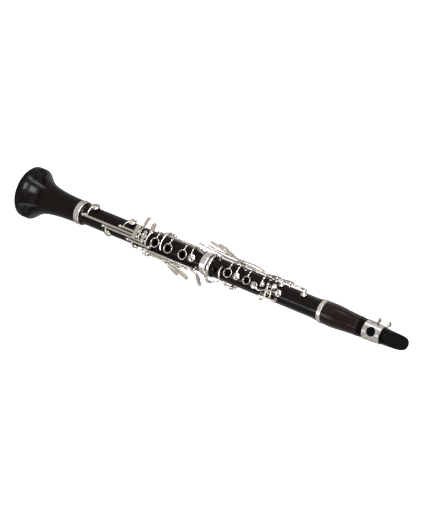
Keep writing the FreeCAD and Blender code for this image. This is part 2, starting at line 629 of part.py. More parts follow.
def build_corks():
    groove, outer, length = size("cork_groove_radius") + PLAY, size("cork_radius"), size("cork_length")
    sleeves = []
    for start in (90.6, 326.2, 538.4):
        low, high = start + PLAY, start + length - PLAY
        sleeves.append(spin([(groove, low), (outer - 0.3, low), (outer, low + 0.3), (outer, high - 0.3),
                             (outer - 0.3, high), (groove, high)]))
    feature("tenon_corks", Part.makeCompound(sleeves))


def build_tubes():
    tube = size("register_tube_radius")
    feature("register_tube", stand(spin([(1.5, 9), (tube, 9), (tube, UPPER + 0.9), (1.5, UPPER + 0.9)]), 472, 180))
    tube = size("thumb_tube_radius")
    top = UPPER + size("ring_chimney_height")
    feature("thumb_tube", stand(spin([(3.6, 8.4), (tube, 8.4), (tube, top - 0.4), (tube - 0.4, top), (4, top),
                                      (3.6, top - 0.4)]), 414, 180))


REST_Z = 262
REST_SCREWS = (REST_Z - 8, REST_Z + 8)


def rest_screw_drills():
    radius = size("screw_radius") + PLAY
    return [stand(Part.makeCylinder(radius, 6, V(0, 0, LOWER - 4)), z, 180) for z in REST_SCREWS]


def build_thumb_rest():
    """A curved plate screwed to the back, with a hook for the right thumb."""
    inner, outer, half = LOWER + PLAY, LOWER + 1.5, 13
    shell = spin([(inner, REST_Z - half), (outer, REST_Z - half), (outer, REST_Z + half), (inner, REST_Z + half)])
    window = Part.makeBox(12.4, 20, 2 * half, V(-6.2, 6, REST_Z - half))
    plate = shell.common(window)
    hook_line = [V(0, outer - 1, REST_Z + 1), V(0, 20, REST_Z + 0.6), V(0, 26, REST_Z - 1.4), V(0, 32, REST_Z - 5)]
    line = Part.BSplineCurve()
    line.interpolate(hook_line)
    start = hook_line[0]
    section = Part.makePolygon([start + V(x, 0, z) for x, z in ((-6, -1.2), (6, -1.2), (6, 1.2), (-6, 1.2), (-6, -1.2))])
    hook = Part.Wire(line.toShape()).makePipeShell([section], True, False)
    core = Part.makeCylinder(inner, 2 * half, V(0, 0, REST_Z - half))
    body = plate.fuse(hook).cut(core)
    shank, head = size("screw_radius"), 2.3
    screws = []
    for z in REST_SCREWS:
        body = body.cut(stand(Part.makeCylinder(shank + PLAY, 10, V(0, 0, 10)), z, 180))
        body = body.cut(stand(Part.makeCylinder(head + PLAY, 5, V(0, 0, outer - 0.5)), z, 180))
        screw = spin([(0, LOWER - 3.8), (shank, LOWER - 3.8), (shank, outer - 0.48), (head, outer - 0.48),
                      (head, outer + 0.2), (head - 0.7, outer + 0.6), (0, outer + 0.7)])
        slot = Part.makeBox(6, 0.6, 2, V(-3, -0.3, outer + 0.25))
        screws.append(stand(screw.cut(slot), z, 180))
    feature("thumb_rest", body)
    feature("thumb_rest_screws", Part.makeCompound(screws))


def build_barrel():
    neck, belly = size("barrel_neck_radius"), size("barrel_radius")
    outer = curve([(16.5, 541.9), (16.8, 546), (belly, 552), (16.75, 561), (16.1, 569), (15.3, 578), (14.7, 587),
                   (neck + 0.1, 596.2)])
    corners = [(neck + 0.1, 596.2), (neck - 0.15, 596.6), (neck + 0.1, 597), (neck + 0.1, BARREL_END - 1),
               (neck - 0.6, BARREL_END), (11.62, BARREL_END), (11.62, 582.2), (BORE + 0.1, 582.2), (BORE + 0.1, 553),
               (11.62, 553), (11.62, UPPER_END + 0.95), (15.7, UPPER_END + 0.95), (15.7, 541.9), (16.5, 541.9)]
    feature("barrel", spin_curved([outer] + [straight(a, b) for a, b in zip(corners, corners[1:])]))
    turned("barrel_ring", [
        ("11.9", "Sizes.upper_end + 0.05"), ("Sizes.barrel_ring_radius - 0.6", "Sizes.upper_end + 0.05"),
        ("Sizes.barrel_ring_radius", "Sizes.upper_end + 0.8"), ("Sizes.barrel_ring_radius", "541.1"),
        ("Sizes.barrel_ring_radius - 0.5", "541.7"), ("15.72", "541.7"), ("15.72", "Sizes.upper_end + 0.9"),
        ("11.9", "Sizes.upper_end + 0.9")])


TABLE_Y = 9.2
MOUTH_LOW, MOUTH_HIGH = 14.0, 10.1


def mouth_radius(z):
    """The mouthpiece's outside, tapering from shoulder to tip."""
    share = (z - BARREL_END) / (TIP - BARREL_END)
    return MOUTH_LOW + (MOUTH_HIGH - MOUTH_LOW) * share


def rounded_tip(shape, top):
    """Cuts the shape off along the curved front edge that mouthpiece and reed share."""
    shoulder, half = top - 8, 12
    left, right = V(-half, -30, shoulder), V(half, -30, shoulder)
    outline = [Part.Arc(left, V(0, -30, top), right).toShape(), Part.makeLine(right, V(30, -30, shoulder)),
               Part.makeLine(V(30, -30, shoulder), V(30, -30, UPPER_END)),
               Part.makeLine(V(30, -30, UPPER_END), V(-30, -30, UPPER_END)),
               Part.makeLine(V(-30, -30, UPPER_END), V(-30, -30, shoulder)), Part.makeLine(V(-30, -30, shoulder), left)]
    return shape.common(Part.Face(Part.Wire(outline)).extrude(V(0, 60, 0)))


def build_mouthpiece():
    low = BARREL_END + 0.05
    corners = [(7.5, 582.6), (11.4, 582.6), (11.4, 585), (10.6, 585), (10.6, 596), (11.4, 596), (11.4, low),
               (13.4, low), (MOUTH_LOW, low + 0.8), (mouth_radius(TIP - 1.2), TIP - 1.2), (mouth_radius(TIP) - 0.9, TIP),
               (0, TIP), (0, 630), (7.5, 622)]
    solid = spin(corners)
    table = Part.makeBox(40, 20, 80, V(-20, TABLE_Y, low + 3))
    solid = solid.cut(table)
    beak = Part.makePolygon([V(-20, -14, 642), V(-20, -11.4, 643), V(-20, 7.9, TIP + 0.2), V(-20, 7.9, TIP + 5),
                             V(-20, -20, TIP + 5), V(-20, -20, 642), V(-20, -14, 642)])
    solid = solid.cut(Part.Face(beak).extrude(V(40, 0, 0)))
    chamber = Part.makePolygon([V(-4.8, TABLE_Y + 1, 633), V(-4.8, -4, 633), V(-4.8, -4, 636), V(-4.8, 6.6, 664),
                                V(-4.8, TABLE_Y + 1, 666), V(-4.8, TABLE_Y + 1, 633)])
    throat = Part.makeCylinder(4.8, 14, V(0, 0, 620))
    solid = solid.cut(Part.Face(chamber).extrude(V(9.6, 0, 0))).cut(throat)
    feature("mouthpiece", rounded_tip(solid, TIP))
    cork = spin([(10.62, 585.02), (11.3, 585.02), (11.58, 585.3), (11.58, 595.7), (11.3, 595.98), (10.62, 595.98)])
    feature("mouthpiece_cork", cork)


def build_reed():
    """Cane reed: flat on the table, round on its back, thinning to the tip."""
    low, high, gap = BARREL_END + 5, TIP - 0.4, 0.03
    width = 12.6
    base = Part.makeBox(width, 6, high - low, V(-width / 2, TABLE_Y + gap, low))
    back = Part.makeCone(mouth_radius(low) - 1.0, mouth_radius(high) - 0.2, high - low, V(0, 0, low))
    vamp = Part.makePolygon([V(-10, TABLE_Y + 4, 637), V(-10, TABLE_Y + 2.7, 637.5), V(-10, TABLE_Y + 1.0, 652),
                             V(-10, TABLE_Y + 0.3, high + 0.1), V(-10, TABLE_Y + 4, high + 0.1), V(-10, TABLE_Y + 4, 637)])
    blank = base.common(back).cut(Part.Face(vamp).extrude(V(20, 0, 0)))
    feature("reed", rounded_tip(blank, high))


BAND_LOW, BAND_HIGH = 609.5, 636.2
BAND_THICK = 0.7
SCREW_HEIGHTS = (614.5, 631)
SCREW_Y, LUG_HALF = 17.0, 4.6


def build_ligature():
    """The band round mouthpiece and reed, its lugs at the back and the two thumb screws through them."""
    gap = 0.06
    low_r, high_r = mouth_radius(BAND_LOW) + gap, mouth_radius(BAND_HIGH) + gap
    band = spin([(low_r, BAND_LOW), (low_r + BAND_THICK, BAND_LOW), (high_r + BAND_THICK, BAND_HIGH),
                 (high_r, BAND_HIGH)])
    mid = (BAND_LOW + BAND_HIGH) / 2
    window = stand(Part.makeCylinder(6.8, 12, V(0, 0, 6)), mid, 0)
    split = Part.makeBox(2 * LUG_HALF - 3, 14, 60, V(-LUG_HALF + 1.5, 6, mid - 30))
    band = band.cut(window).cut(split)
    for side in (-1, 1):
        moon = stand(Part.makeCylinder(5.6, 12, V(0, 0, 6)), mid, 57 * side)
        band = band.cut(moon.cut(stand(Part.makeCylinder(5.6, 14, V(0, 0, 5)), mid, 57 * side - 13 * side)))
    lugs, holes = [], []
    for z in SCREW_HEIGHTS:
        inner = mouth_radius(z) + gap
        for side in (-1, 1):
            foot = Part.makeBox(2.6, SCREW_Y - inner + 2.6, 5, V(side * LUG_HALF - 1.3, inner - 2.2, z - 2.5))
            eye = Part.makeCylinder(2.5, 2.6, V(side * LUG_HALF - 1.3, SCREW_Y, z), V(1, 0, 0))
            lugs += [foot, eye]
        holes.append(Part.makeCylinder(size("screw_radius") + 0.06, 30, V(-15, SCREW_Y, z), V(1, 0, 0)))
    room = spin([(0, BAND_LOW - 1), (low_r, BAND_LOW - 1), (low_r, BAND_LOW), (high_r, BAND_HIGH),
                 (high_r, BAND_HIGH + 1), (0, BAND_HIGH + 1)])
    feature("ligature", join([band] + lugs).cut(room).cut(join(holes)))
    for label, z in zip(("lower_ligature_screw", "upper_ligature_screw"), SCREW_HEIGHTS):
        feature(label, thumb_screw(z))


def thumb_screw(z):
    """A screw with a flat oval thumb head, lying along X."""
    shank = Part.makeCylinder(size("screw_radius"), 21, V(-13, SCREW_Y, z), V(1, 0, 0))
    collar = Part.makeCone(1.7, 2.3, 2.2, V(-LUG_HALF - 1.5, SCREW_Y, z), V(-1, 0, 0))
    stem = Part.makeCylinder(1.6, 5, V(-13, SCREW_Y, z), V(1, 0, 0))
    head = Part.makeCylinder(4.3, 2.2, V(-15.2, SCREW_Y, z - 1.1), UP)
    return join([shank, collar, stem, head.makeFillet(0.6, head.Edges[:1] + head.Edges[2:3])])


# ---- assembly ----

build_bell()
build_lower_joint()
build_upper_joint()
build_corks()
build_tubes()
build_thumb_rest()
build_barrel()
build_mouthpiece()
build_reed()
build_ligature()
build_posts()
build_keys()
doc.recompute()

bad = [item.Label for item in doc.Objects if "Invalid" in item.State or "Error" in item.State]
bad += [node.Label for node in nodes if node.Shape.isNull() or not node.Shape.isValid()]
if bad:
    raise RuntimeError("failed: " + ", ".join(bad))

os.makedirs("parts", exist_ok=True)
for node in nodes:
    node.Shape.exportStep(f"parts/{node.Label}.step")
    print(node.Label, len(node.Shape.Solids), round(node.Shape.Volume, 1))
print(len(nodes), "nodes")
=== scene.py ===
"""A soprano clarinet: finishes, cast keywork, small fittings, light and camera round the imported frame."""
import json
import math
import random

import bmesh
import bpy
from mathutils import Matrix, Vector

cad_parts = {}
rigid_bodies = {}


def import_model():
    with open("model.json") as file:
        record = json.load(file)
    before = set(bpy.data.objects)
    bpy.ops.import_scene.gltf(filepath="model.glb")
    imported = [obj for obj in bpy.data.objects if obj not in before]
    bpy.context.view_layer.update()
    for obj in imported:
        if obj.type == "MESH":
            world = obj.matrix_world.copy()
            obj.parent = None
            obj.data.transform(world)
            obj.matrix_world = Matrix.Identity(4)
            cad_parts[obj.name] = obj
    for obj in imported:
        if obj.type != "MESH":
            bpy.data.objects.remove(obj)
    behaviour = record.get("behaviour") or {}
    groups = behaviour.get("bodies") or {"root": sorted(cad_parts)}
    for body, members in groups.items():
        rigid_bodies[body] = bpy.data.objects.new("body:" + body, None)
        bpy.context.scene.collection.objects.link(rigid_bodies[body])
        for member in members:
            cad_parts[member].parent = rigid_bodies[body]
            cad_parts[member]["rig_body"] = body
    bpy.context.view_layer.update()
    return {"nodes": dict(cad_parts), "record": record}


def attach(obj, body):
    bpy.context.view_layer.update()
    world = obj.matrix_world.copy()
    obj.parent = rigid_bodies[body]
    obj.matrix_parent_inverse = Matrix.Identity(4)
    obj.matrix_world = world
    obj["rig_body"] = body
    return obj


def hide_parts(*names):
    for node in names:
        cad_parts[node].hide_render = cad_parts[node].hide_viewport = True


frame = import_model()
MM = 0.001
rng = random.Random(11)
nodes, scene = frame["nodes"], bpy.context.scene
body_of_node = {name: node["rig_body"] for name, node in nodes.items()}


# ---- material nodes ----

# What a plated rim reflects when seen edge-on.
RIM_TINT = (0.45, 0.38, 0.32, 1)


class Shader:
    """A Principled material whose inputs are fed by a few short helpers."""

    def __init__(self, name):
        self.material = bpy.data.materials.new(name)
        self.material.use_nodes = True
        self.tree = self.material.node_tree
        self.surface = self.tree.nodes["Principled BSDF"]
        self.place = self.tree.nodes.new("ShaderNodeTexCoord").outputs["Object"]

    def link(self, output, socket):
        self.tree.links.new(output, socket)

    def feed(self, node, socket, value):
        if hasattr(value, "is_linked"):
            self.link(value, node.inputs[socket])
        else:
            node.inputs[socket].default_value = value

    def add(self, kind, inputs=None, **settings):
        node = self.tree.nodes.new("ShaderNode" + kind)
        for key, value in settings.items():
            setattr(node, key, value)
        for socket, value in (inputs or {}).items():
            self.feed(node, socket, value)
        return node

    def noise(self, size_mm, detail=4.0, rough=0.55, warp=0.0):
        """Noise whose features are about size_mm across, given for x, y and z."""
        scale = [1 / (s * MM) for s in size_mm]
        place = self.add("Mapping", {"Vector": self.place, "Scale": scale}).outputs[0]
        inputs = {"Vector": place, "Scale": 1.0, "Detail": detail, "Roughness": rough, "Distortion": warp}
        return self.add("TexNoise", inputs).outputs["Fac"]

    def cells(self, size_mm):
        scale = [1 / (s * MM) for s in size_mm]
        place = self.add("Mapping", {"Vector": self.place, "Scale": scale}).outputs[0]
        return self.add("TexVoronoi", {"Vector": place, "Scale": 1.0}).outputs["Distance"]

    def ramp(self, value, stops):
        node = self.add("ValToRGB", {"Fac": value})
        while len(node.color_ramp.elements) < len(stops):
            node.color_ramp.elements.new(0.5)
        for element, (at, colour) in zip(node.color_ramp.elements, stops):
            element.position = at
            element.color = (*colour, 1) if len(colour) == 3 else colour
        return node.outputs["Color"]

    def between(self, value, low, high, low_in=0.0, high_in=1.0):
        inputs = {"Value": value, "From Min": low_in, "From Max": high_in, "To Min": low, "To Max": high}
        return self.add("MapRange", inputs).outputs["Result"]

    def mix(self, factor, first, second, blend="MIX"):
        node = self.add("Mix", data_type="RGBA", blend_type=blend)
        self.feed(node, 0, factor)
        self.feed(node, 6, first)
        self.feed(node, 7, second)
        return node.outputs[2]

    def math(self, kind, first, second=0.0):
        node = self.add("Math", operation=kind)
        self.feed(node, 0, first)
        self.feed(node, 1, second)
        return node.outputs[0]

    def soft_edge(self, radius_mm):
        return self.add("Bevel", {"Radius": radius_mm * MM}, samples=4).outputs["Normal"]

    def worn_edge(self, soft, low=0.02, high=0.25):
        """Near 1 on outer edges, where handling rubs a surface brighter."""
        true = self.add("NewGeometry").outputs["Normal"]
        cosine = self.add("VectorMath", {0: soft, 1: true}, operation="DOT_PRODUCT").outputs["Value"]
        return self.between(self.math("SUBTRACT", 1.0, cosine), 0.0, 1.0, low, high)

    def bump(self, height, depth_mm, normal=None, strength=1.0):
        inputs = {"Height": height, "Distance": depth_mm * MM, "Strength": strength}
        if normal is not None:
            inputs["Normal"] = normal
        return self.add("Bump", inputs).outputs["Normal"]

    def finish(self, **inputs):
        for socket, value in inputs.items():
            self.feed(self.surface, socket.replace("_", " "), value)
        return self.material


def wood(name, dark, light, gloss, pore_depth, shine=0.17):
    """Oiled, polished hardwood with the grain running along the bore."""
    s = Shader(name)
    figure = s.noise((2.2, 2.2, 60), 5, 0.6, 0.4)
    fibre = s.noise((0.35, 0.35, 9), 3, 0.6)
    colour = s.ramp(figure, [(0.3, dark), (0.72, light)])
    colour = s.mix(s.between(fibre, 0, 0.55, 0.35, 0.7), colour, (*dark, 1))
    soft = s.soft_edge(0.35)
    rubbed = (*[channel * 2.4 + 0.012 for channel in light], 1)
    colour = s.mix(s.math("MULTIPLY", s.worn_edge(soft), 0.35), colour, rubbed)
    smear = s.noise((9, 9, 26), 2)
    pores = s.between(s.noise((0.22, 0.22, 4.5), 2, 0.5), 0, 1, 0.38, 0.5)
    return s.finish(Base_Color=colour, Roughness=s.between(smear, gloss, gloss + 0.08, 0.3, 0.7), IOR=1.5,
                    Specular_IOR_Level=shine, Normal=s.bump(pores, pore_depth, soft))


def plated(name, colour, dull, gloss):
    """Plated metal with handling smears and hairline scratches, darker in its corners, with painted shade
    where the surface is seen edge-on.
    """
    s = Shader(name)
    smear = s.noise((5, 5, 8), 3, 0.6)
    hair = s.noise((0.12, 0.12, 3.0), 2, 0.6, 0.6)
    corner = s.add("AmbientOcclusion", {"Distance": 1.6 * MM}, samples=6).outputs["AO"]
    soft = s.soft_edge(0.22)
    tone = s.mix(s.between(smear, 0, 0.35, 0.35, 0.75), (*colour, 1), (*dull, 1))
    tone = s.mix(s.between(corner, 0.9, 0.0, 0.35, 0.95), tone, (*[channel * 0.45 for channel in dull], 1))
    # Painted shade: the colour darkens where the surface turns edge-on to the camera.
    edge_on_painted_shade = s.add("LayerWeight", {"Blend": 0.5, "Normal": soft}).outputs["Facing"]
    tone = s.mix(s.between(edge_on_painted_shade, 0.0, 0.85, 0.35, 0.9), tone, (*[channel * 0.2 for channel in dull], 1))
    smeared = s.between(smear, gloss, gloss + 0.13, 0.3, 0.75)
    rough = s.math("ADD", smeared, s.between(hair, 0, 0.05, 0.5, 0.7))
    return s.finish(Base_Color=tone, Metallic=1.0, Roughness=rough, Specular_Tint=RIM_TINT,
                    Normal=s.bump(hair, 0.006, soft, 0.5))


def hard_rubber(name):
    s = Shader(name)
    soft = s.soft_edge(0.3)
    cloud = s.noise((7, 7, 12), 4)
    black = s.ramp(cloud, [(0.3, (0.002, 0.002, 0.0022)), (0.8, (0.0045, 0.0043, 0.004))])
    colour = s.mix(s.math("MULTIPLY", s.worn_edge(soft), 0.25), black, (0.03, 0.028, 0.025, 1))
    grain = s.noise((0.5, 0.5, 0.5), 3)
    return s.finish(Base_Color=colour, Roughness=s.between(cloud, 0.07, 0.16, 0.3, 0.75), IOR=1.5,
                    Specular_IOR_Level=0.16, Normal=s.bump(grain, 0.004, soft))


def sheet_cork(name):
    s = Shader(name)
    grain = s.noise((0.9, 0.9, 0.9), 6, 0.7, 0.5)
    pits = s.between(s.cells((0.8, 0.8, 0.5)), 0.55, 0, 0.06, 0.2)
    bark = s.ramp(grain, [(0.3, (0.33, 0.17, 0.075)), (0.7, (0.60, 0.37, 0.19))])
    return s.finish(Base_Color=s.mix(pits, bark, (0.10, 0.045, 0.02, 1)), Roughness=0.8,
                    Normal=s.bump(grain, 0.12, s.soft_edge(0.3)))


def reed_cane(name):
    s = Shader(name)
    fibre = s.noise((0.16, 0.6, 22), 4, 0.65)
    patch = s.noise((3, 3, 14), 3)
    colour = s.ramp(fibre, [(0.3, (0.50, 0.33, 0.13)), (0.7, (0.78, 0.60, 0.32))])
    colour = s.mix(s.between(patch, 0, 0.5, 0.35, 0.7), colour, (0.62, 0.44, 0.20, 1))
    return s.finish(Base_Color=colour, Roughness=0.5, Subsurface_Weight=0.12,
                    Subsurface_Radius=(0.0012, 0.0008, 0.0004),
                    Normal=s.bump(fibre, 0.03, s.soft_edge(0.2)))


def creased_skin(name):
    s = Shader(name)
    crease = s.cells((0.35, 0.35, 0.35))
    tan = s.ramp(s.noise((1.5, 1.5, 1.5), 4), [(0.3, (0.62, 0.54, 0.40)), (0.7, (0.80, 0.74, 0.60))])
    return s.finish(Base_Color=tan, Roughness=0.6, Normal=s.bump(crease, 0.05, s.soft_edge(0.3)))


def heat_blued(name):
    s = Shader(name)
    heat = s.noise((0.6, 0.6, 3), 2)
    blue = s.ramp(heat, [(0.3, (0.02, 0.03, 0.10)), (0.7, (0.05, 0.06, 0.16))])
    return s.finish(Base_Color=blue, Metallic=1.0, Roughness=s.between(heat, 0.22, 0.36))


MATERIALS = {
    "blackwood": wood("blackwood", (0.0022, 0.0018, 0.0017), (0.0085, 0.0055, 0.0045), 0.13, 0.006),
    "barrel_wood": wood("barrel_wood", (0.0055, 0.0028, 0.0022), (0.017, 0.0075, 0.0050), 0.20, 0.006,
                        shine=0.26),
    "silver_plate": plated("silver_plate", (0.82, 0.785, 0.74), (0.66, 0.61, 0.545), 0.12),
    # A copy of silver_plate: the higher roughness is a satin finish, the lighter colour is painted light that
    # makes these parts look brighter lit.
    "satin_painted_light_plate": plated("satin_painted_light_plate", (0.90, 0.875, 0.84), (0.78, 0.745, 0.70), 0.24),
    "steel": plated("steel", (0.66, 0.66, 0.66), (0.5, 0.49, 0.48), 0.2),
    "ebonite": hard_rubber("ebonite"),
    "cork": sheet_cork("cork"),
    "cane": reed_cane("cane"),
    "pad_skin": creased_skin("pad_skin"),
    "blued_steel": heat_blued("blued_steel"),
}


def dress(obj, name):
    obj.data.materials.clear()
    obj.data.materials.append(MATERIALS[name])


# ---- cast keywork ----

CAST_VOXEL = 0.24 * MM
LEAF_STATIONS, LEAF_AROUND = 26, 24
LEAF_SIDE_POWER, LEAF_FACE_POWER = 0.8, 0.9


def round_body(angle, height, radius):
    """The point at an angle round the bore, a height and a distance from its axis, in millimetres."""
    turn = math.radians(angle)
    return Vector((radius * math.sin(turn), -radius * math.cos(turn), height))


def leaf(start, end, widths, thick, facing, squareness=2.6):
    """A cushioned plate between two points: its width follows widths, its edge and faces are all rounded."""
    start, end = Vector(start), Vector(end)
    along = (end - start).normalized()
    face = round_body(facing, 0, 1)
    across = face.cross(along).normalized()
    face = along.cross(across)
    mesh = bmesh.new()
    rings = []
    for i in range(LEAF_STATIONS):
        u = -math.cos(math.pi * (i + 0.5) / LEAF_STATIONS)
        share = (u + 1) / 2 * (len(widths) - 1)
        k = min(int(share), len(widths) - 2)
        width = widths[k] + (widths[k + 1] - widths[k]) * (share - k)
        swell = (1 - abs(u) ** squareness) ** (1 / squareness)
        centre = start + (end - start) * (u + 1) / 2
        ring = []
        for j in range(LEAF_AROUND):
            turn = 2 * math.pi * j / LEAF_AROUND
            c, s = math.cos(turn), math.sin(turn)
            side = math.copysign(abs(c) ** LEAF_SIDE_POWER, c) * width / 2 * swell
            lift = math.copysign(abs(s) ** LEAF_FACE_POWER, s) * thick / 2 * min(1, swell * 1.25)
            ring.append(mesh.verts.new((centre + across * side + face * lift) * MM))
        rings.append(ring)
    for low, high in zip(rings, rings[1:]):
        for j in range(LEAF_AROUND):
            k = (j + 1) % LEAF_AROUND
            mesh.faces.new((low[j], low[k], high[k], high[j]))
    mesh.faces.new(rings[0][::-1])
    mesh.faces.new(rings[-1])
    bmesh.ops.recalc_face_normals(mesh, faces=mesh.faces)
    return mesh


# Plates and webs that the caster adds to a key: start, end, widths, thickness, facing angle.
SHAPED = {
    "low_e_key": [((1.8, -24.0, 215.6), (-16.8, -20.9, 218.4), (6, 8.2, 8.6, 8.0), 2.5, -14)],
    "low_f_key": [((-15.6, -24.6, 228.7), (-31.4, -15.2, 226.2), (5, 8.2, 8.6, 7.6), 2.5, -48)],
    "low_f_sharp_key": [((2.6, -23.9, 230.7), (-13.4, -21.2, 232.4), (5, 7.0, 7.4, 6.6), 2.5, -14)],
    "low_g_sharp_key": [((-11.6, -22.6, 241.4), (-26.4, -11.0, 235.2), (5, 7.6, 8.2, 7.4), 2.5, -50)],
    "low_e_lever": [((20.8, -6.2, 270), (29.2, -4.4, 295.5), (3.2, 5.6, 8.6, 8.6), 2.2, 20)],
    "low_f_sharp_lever": [((17.6, -12, 281), (29.6, -6.2, 314.5), (3.2, 5.6, 8.6, 8.6), 2.2, 20)],
    "low_f_lever": [((16.6, -16.8, 332.6), (31.4, -8.6, 339.8), (6.4, 7.6, 8.2, 7.4), 2.4, 20)],
    "c_sharp_key": [(round_body(66, 347.9, 22.4), round_body(24, 346.3, 21.8), (4.6, 6.2, 6.8, 6.0), 2.2, 46),
                    (round_body(96, 348.9, 22.6), round_body(60, 347.6, 22.9), (3.4, 5.2, 6.4, 6.4), 2.2,
                     80)],
    "side_key_3": [((-28.2, 0.2, 346), (-31.2, 0.7, 328.5), (4.4, 6.4, 7.2, 6.6), 2.3, -66),
                   (round_body(-91, 372, 22.8), (-28.9, 0.2, 342), (3.2, 4.6, 5.0, 4.6), 2.0, -66)],
    "side_key_4": [((-29.2, 6.7, 356), (-31.4, 6.9, 339), (4.4, 6.4, 7.2, 6.6), 2.3, -66),
                   (round_body(-99.4, 378, 22.4), (-29.6, 6.8, 352), (3.2, 4.4, 4.8, 4.4), 2.0, -76)],
    "side_key_1": [((-21.8, 1.1, 325), (-23.2, 0.3, 310.5), (4, 6.2, 7.0, 6.4), 2.2, -95)],
    "side_key_2": [((-22.8, 9.0, 337), (-24.2, 8.8, 322), (4, 6.2, 7.0, 6.4), 2.2, -95)],
    "register_key": [((0, 21.5, 440), (0, 21.3, 427.6), (5, 8, 9.6, 8.4), 2.2, 180)],
}


def cast(node):
    """A key as it leaves the caster: the same solid with inner corners filled and outer ones rounded."""
    shape = bmesh.new()
    shape.from_mesh(nodes[node].data)
    for start, end, widths, thick, facing in SHAPED.get(node, []):
        plate = leaf(start, end, widths, thick, facing)
        addition = bpy.data.meshes.new("addition")
        plate.to_mesh(addition)
        plate.free()
        shape.from_mesh(addition)
        bpy.data.meshes.remove(addition)
    whole = bpy.data.meshes.new(node + "_cast")
    shape.to_mesh(whole)
    shape.free()
    piece = bpy.data.objects.new(node + "_cast", whole)
    scene.collection.objects.link(piece)
    skin = piece.modifiers.new("skin", "REMESH")
    skin.mode, skin.voxel_size, skin.use_smooth_shade = "VOXEL", CAST_VOXEL, True
    ease = piece.modifiers.new("ease", "SMOOTH")
    ease.factor, ease.iterations = 0.5, 5
    evaluated = piece.evaluated_get(bpy.context.evaluated_depsgraph_get())
    mesh = bpy.data.meshes.new_from_object(evaluated)
    piece.modifiers.clear()
    piece.data = mesh
    dress(piece, "silver_plate")
    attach(piece, body_of_node[node])
    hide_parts(node)


# The rings and the ligature get the satin copy, whose lighter colour is painted light.
SATIN_PAINTED_LIGHT_NODES = ("ligature", "bell_ring", "barrel_ring", "socket_ring", "tenon_ring")
slots = {part["node"]: part["material_slot"] for part in frame["record"]["subparts"]}
for name, node in nodes.items():
    dress(node, "satin_painted_light_plate" if name in SATIN_PAINTED_LIGHT_NODES else slots[name])

KEY_NODES = [name for name in nodes if name.endswith(("_key", "_lever")) or name.startswith("side_key")]
for name in sorted(KEY_NODES):
    cast(name)


# ---- small fittings ----

def loose_parts(obj):
    """The separate solids of one node: the corners of each one's box, in metres."""
    mesh = bmesh.new()
    mesh.from_mesh(obj.data)
    bmesh.ops.remove_doubles(mesh, verts=mesh.verts, dist=0.0001 * MM)
    waiting, boxes = set(mesh.verts), []
    while waiting:
        front, part = [waiting.pop()], []
        while front:
            vertex = front.pop()
            part.append(obj.matrix_world @ vertex.co)
            for edge in vertex.link_edges:
                other = edge.other_vert(vertex)
                if other in waiting:
                    waiting.remove(other)
                    front.append(other)
        boxes.append([Vector([pick(point[i] for point in part) for i in range(3)]) for pick in (min, max)])
    mesh.free()
    return sorted(boxes, key=lambda box: tuple(round(value, 6) for value in (*box[0], *box[1])))


# A rod-end screw's head, in millimetres.
HEAD = {"radius": 1.3, "height": 0.5, "slot": 0.42, "base": 0.22, "edge": 0.15, "base_edge": 0.02}
HEAD_STEPS = 28


def prism(mesh, to_world, outline, low, high, inset):
    """A straight prism on a closed outline, its top edge drawn in by inset."""
    outline = [Vector(point) for point in outline]
    middle = sum(outline, Vector((0, 0))) / len(outline)
    rings = []
    for height, pull in ((low, 0.0), (high - inset, 0.0), (high, inset)):
        drawn = [point - (point - middle).normalized() * pull for point in outline]
        rings.append([mesh.verts.new(to_world @ Vector((flat.x, flat.y, height))) for flat in drawn])
    for lower, upper in zip(rings, rings[1:]):
        for i in range(len(outline)):
            k = (i + 1) % len(outline)
            mesh.faces.new((lower[i], lower[k], upper[k], upper[i]))
    mesh.faces.new(rings[0][::-1])
    mesh.faces.new(rings[-1])


def slotted_head(mesh, place, outward, turn):
    """A low head at a rod's end: a round base and two half discs with the driver's slot between them."""
    to_outward = outward.to_track_quat("Z", "X").to_matrix().to_4x4()
    to_world = Matrix.Translation(place) @ to_outward @ Matrix.Rotation(turn, 4, "Z")
    size = {key: value * MM for key, value in HEAD.items()}
    radius = size["radius"]
    full_turn = [2 * math.pi * i / HEAD_STEPS for i in range(HEAD_STEPS)]
    circle = [(radius * math.cos(angle), radius * math.sin(angle)) for angle in full_turn]
    prism(mesh, to_world, circle, -size["base"], size["base"], size["base_edge"])
    edge_angle = math.asin(size["slot"] / 2 / radius)
    half_steps = HEAD_STEPS // 2
    arc = [edge_angle + (math.pi - 2 * edge_angle) * i / half_steps for i in range(half_steps + 1)]
    for side in (1, -1):
        half = [(radius * math.cos(angle), side * radius * math.sin(angle)) for angle in arc][::side]
        prism(mesh, to_world, half, size["base"], size["height"], size["edge"])


def make_rod_heads():
    """Slotted screw heads on both ends of every hinge rod."""
    mesh = bmesh.new()
    for low, high in loose_parts(nodes["hinge_rods"]):
        span = high - low
        axis = max(range(3), key=lambda i: span[i])
        middle = (low + high) / 2
        for end, sign in ((low, -1), (high, 1)):
            place, outward = middle.copy(), Vector((0, 0, 0))
            place[axis], outward[axis] = end[axis], sign
            slotted_head(mesh, place, outward, rng.uniform(0, math.pi))
    bmesh.ops.recalc_face_normals(mesh, faces=mesh.faces)
    data = bpy.data.meshes.new("rod_end_screws")
    mesh.to_mesh(data)
    mesh.free()
    piece = bpy.data.objects.new("rod_end_screws", data)
    scene.collection.objects.link(piece)
    dress(piece, "steel")
    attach(piece, body_of_node["hinge_rods"])


make_rod_heads()


# ---- stage, light and camera ----

def emitter(name, place, target, width, height, power):
    light = bpy.data.lights.new(name, "AREA")
    light.shape, light.size, light.size_y = "RECTANGLE", width, height
    light.energy = power
    lamp = bpy.data.objects.new(name, light)
    scene.collection.objects.link(lamp)
    lamp.location = place
    lamp.rotation_mode = "QUATERNION"
    lamp.rotation_quaternion = (Vector(target) - Vector(place)).to_track_quat("-Z", "Y")
    return lamp


